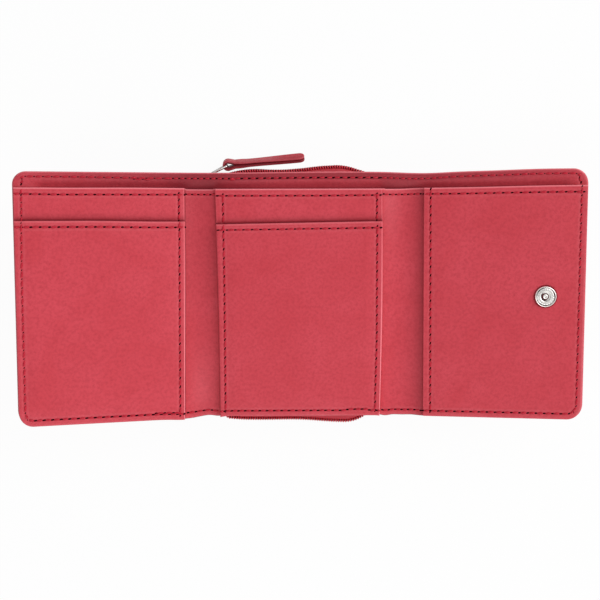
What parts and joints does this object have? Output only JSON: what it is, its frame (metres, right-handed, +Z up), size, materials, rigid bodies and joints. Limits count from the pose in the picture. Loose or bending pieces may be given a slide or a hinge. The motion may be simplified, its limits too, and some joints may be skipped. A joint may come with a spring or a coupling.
{
  "type": "mini wallet",
  "caption": "Trifold leather mini wallet, open: card slots, snap flap and bill compartment inside, and a zipped coin pouch with a pull tab on the back.",
  "frame": {"origin": "centre of the wallet's footprint, on the surface that the coin pouch lies on", "axes": "+X from the card flap on the left to the snap flap on the right, +Y up the panels towards the open edge of the bill compartment, +Z up out of the inner faces"},
  "size_m": [0.2152, 0.1064, 0.0327],
  "materials": {
    "leather": "fine grained red leather, semi-matt",
    "cloth": "woven red cloth",
    "zip_coil": "red nylon coil, slightly glossy",
    "board": "plain grey board",
    "nickel": "bright nickel plate"
  },
  "bodies": {
    "middle": {"shell_middle": "leather", "board_middle": "board", "liner_middle": "leather", "card_base_middle": "leather", "card_pocket_middle": "leather", "pouch_side_wall": "leather", "pouch_lining_inner": "cloth", "zip_teeth_inner": "zip_coil", "zip_tape_inner": "cloth", "gusset_top": "cloth", "gusset_bottom": "cloth"},
    "left_spine": {"shell_left_spine": "leather", "liner_left_spine": "leather"},
    "left_flap": {"shell_left": "leather", "board_left": "board", "liner_left": "leather", "card_base_left": "leather", "card_pocket_left": "leather", "snap_stud": "nickel", "snap_eyelet": "nickel"},
    "right_spine": {"shell_right_spine": "leather", "liner_right_spine": "leather"},
    "right_flap": {"shell_right": "leather", "board_right": "board", "liner_right": "leather", "snap_panel": "leather", "snap_socket": "nickel", "snap_spring": "nickel", "snap_cap": "nickel"},
    "pouch_cover": {"pouch_cover": "leather", "pouch_lining_outer": "cloth", "zip_teeth_outer": "zip_coil", "zip_tape_outer": "cloth"},
    "zip_slider": {"slider_body": "nickel"},
    "zip_pull": {"pull_link": "nickel"},
    "pull_tab": {"pull_tab": "leather"}
  },
  "joints": [
    {"name": "left_spine_fold", "type": "hinge", "parent": "middle", "child": "left_spine", "pos_m": [-0.03581, -0.04903, 0.0151], "axis": [0, 1, 0], "range_deg": [-6.3, 83.7]},
    {"name": "left_flap_fold", "type": "hinge", "parent": "left_spine", "child": "left_flap", "pos_m": [-0.04336, -0.04903, 0.01593], "axis": [0, 1, 0], "range_deg": [-6.3, 83.7]},
    {"name": "right_spine_fold", "type": "hinge", "parent": "middle", "child": "right_spine", "pos_m": [0.03094, -0.04903, 0.0151], "axis": [0, -1, 0], "range_deg": [-4.1, 85.9]},
    {"name": "right_flap_fold", "type": "hinge", "parent": "right_spine", "child": "right_flap", "pos_m": [0.04621, -0.04903, 0.01619], "axis": [0, -1, 0], "range_deg": [-4.1, 85.9]},
    {"name": "pouch_open", "type": "hinge", "parent": "middle", "child": "pouch_cover", "pos_m": [-0.03846, -0.04903, 0.00115], "axis": [0, 1, 0], "range_deg": [0, 40], "deforming": ["zip_teeth_inner", "zip_teeth_outer", "zip_tape_inner", "zip_tape_outer", "gusset_top", "gusset_bottom"]},
    {"name": "zip_slide", "type": "slide", "parent": "middle", "child": "zip_slider", "axis": [0.9958, 0.092, 0], "range_m": [0, 0.042], "deforming": ["zip_teeth_inner", "zip_teeth_outer", "zip_tape_inner", "zip_tape_outer"]},
    {"name": "pull_swing", "type": "hinge", "parent": "zip_slider", "child": "zip_pull", "pos_m": [-0.03636, 0.04609, 0.0065], "axis": [0, 0, 1], "range_deg": [-1, 120]},
    {"name": "tab_swing", "type": "hinge", "parent": "zip_pull", "child": "pull_tab", "pos_m": [-0.0291, 0.04907, 0.0065], "axis": [0, 0, 1], "range_deg": [-1, 60]}
  ],
  "couplings": [
    {"joint": "left_spine_fold", "follows": "left_flap_fold", "ratio": 1},
    {"joint": "right_spine_fold", "follows": "right_flap_fold", "ratio": 1}
  ]
}
